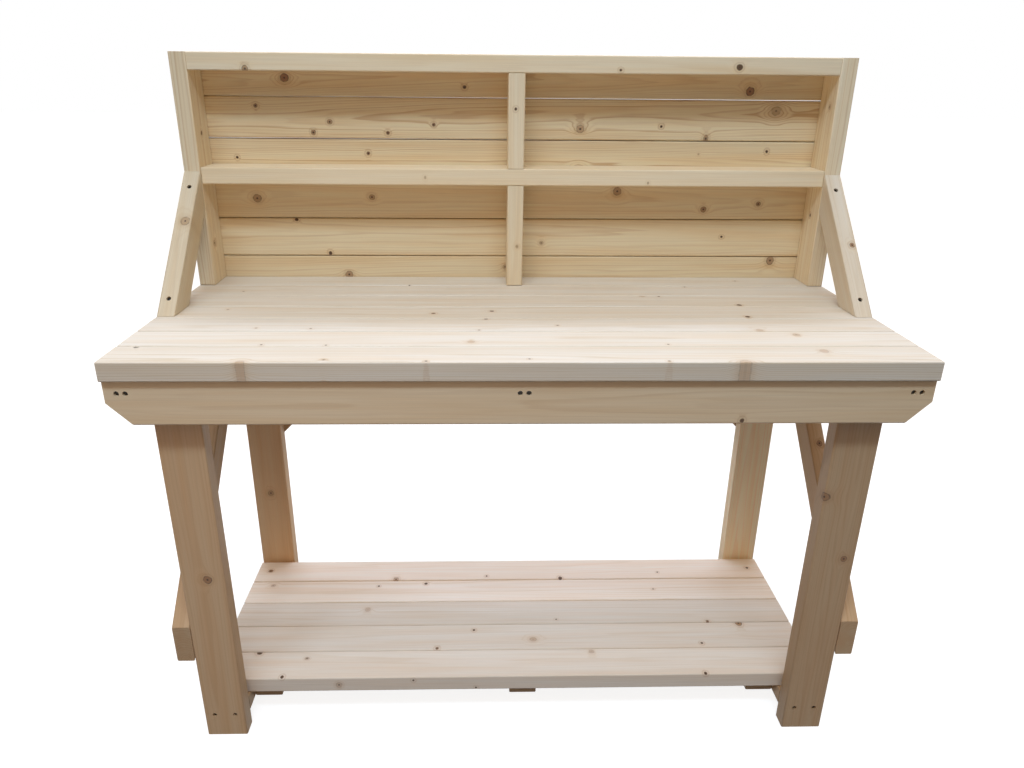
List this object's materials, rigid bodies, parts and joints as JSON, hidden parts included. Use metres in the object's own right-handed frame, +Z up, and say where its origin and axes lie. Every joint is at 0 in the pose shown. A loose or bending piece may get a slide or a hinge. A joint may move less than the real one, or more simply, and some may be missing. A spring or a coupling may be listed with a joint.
{
  "type": "potting bench",
  "caption": "Softwood potting bench: boarded worktop on four braced legs, low slatted shelf, and a two-tier shelf unit with a boarded back standing on the worktop.",
  "frame": {"origin": "on the floor, under the middle of the bench's bounding box", "axes": "+X to the right along the worktop, +Y to the back panel, +Z up; a person stands on the -Y side"},
  "size_m": [1.5236, 0.6726, 1.4339],
  "materials": {
    "worktop_boards": "planed spruce, bare, very pale cream",
    "aprons": "planed spruce, bare, dulled greyish tan",
    "frame_timber": "planed spruce, bare, brownish",
    "lower_shelf": "planed spruce, bare, pinkish cream",
    "back_panel": "planed spruce, bare, with broad orange-brown grain",
    "shelf_unit": "planed spruce, bare, cream",
    "screws": "zinc-plated steel, dulled"
  },
  "bodies": {
    "root": {"apron_screw_1": "screws", "apron_screw_2": "screws", "apron_screw_3": "screws", "apron_screw_4": "screws", "apron_screw_5": "screws", "apron_screw_6": "screws", "centre_post_lower": "shelf_unit", "centre_post_upper": "shelf_unit", "front_apron": "aprons", "front_leg_left": "frame_timber", "front_leg_right": "frame_timber", "leg_screw_1": "screws", "leg_screw_2": "screws", "leg_screw_3": "screws", "leg_screw_4": "screws", "middle_shelf": "shelf_unit", "panel_board_1": "back_panel", "panel_board_2": "back_panel", "panel_board_3": "back_panel", "panel_board_4": "back_panel", "panel_board_5": "back_panel", "panel_board_6": "back_panel", "rear_apron": "aprons", "rear_corner_brace_left": "frame_timber", "rear_corner_brace_right": "frame_timber", "rear_leg_left": "frame_timber", "rear_leg_right": "frame_timber", "shelf_batten_left": "lower_shelf", "shelf_batten_middle": "lower_shelf", "shelf_batten_right": "lower_shelf", "shelf_bearer_left": "frame_timber", "shelf_bearer_right": "frame_timber", "shelf_board_1": "lower_shelf", "shelf_board_2": "lower_shelf", "shelf_board_3": "lower_shelf", "shelf_board_4": "lower_shelf", "shelf_board_5": "lower_shelf", "side_brace_left": "frame_timber", "side_brace_right": "frame_timber", "strut_left": "shelf_unit", "strut_right": "shelf_unit", "strut_screw_1": "screws", "strut_screw_2": "screws", "strut_screw_3": "screws", "strut_screw_4": "screws", "top_rail": "shelf_unit", "upright_left": "shelf_unit", "upright_right": "shelf_unit", "worktop_bearer_left": "frame_timber", "worktop_bearer_middle": "frame_timber", "worktop_bearer_right": "frame_timber", "worktop_board_1": "worktop_boards", "worktop_board_2": "worktop_boards", "worktop_board_3": "worktop_boards", "worktop_board_4": "worktop_boards", "worktop_board_5": "worktop_boards", "worktop_board_6": "worktop_boards", "worktop_board_7": "worktop_boards"}
  },
  "joints": []
}
